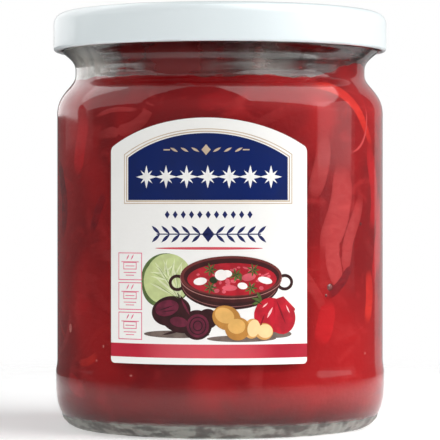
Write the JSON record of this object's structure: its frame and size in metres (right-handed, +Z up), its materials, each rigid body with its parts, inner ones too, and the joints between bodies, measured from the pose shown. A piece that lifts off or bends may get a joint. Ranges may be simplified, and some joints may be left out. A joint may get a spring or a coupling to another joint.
{
  "type": "jar of borscht",
  "caption": "Sealed clear glass jar of chunky red borscht with a white twist-off steel lid and an arched paper front label.",
  "frame": {"origin": "centre of the ring that the jar stands on, at floor level", "axes": "+Z up along the jar's axis, -Y out through the middle of the front label, +X to the right of someone facing the label"},
  "size_m": [0.0856, 0.0856, 0.1058],
  "materials": {
    "jar_glass": "clear flint glass with a faint grey-green tint",
    "lid_enamel": "white gloss lacquer on tinplate",
    "borscht": "wet, deep beet red with paler vegetable shreds",
    "label_paper": "satin white coated paper with fields of blue, crimson and simple drawn shapes"
  },
  "bodies": {
    "root": {"jar": "jar_glass", "lid": "lid_enamel", "borscht": "borscht", "label": "label_paper"}
  },
  "joints": []
}
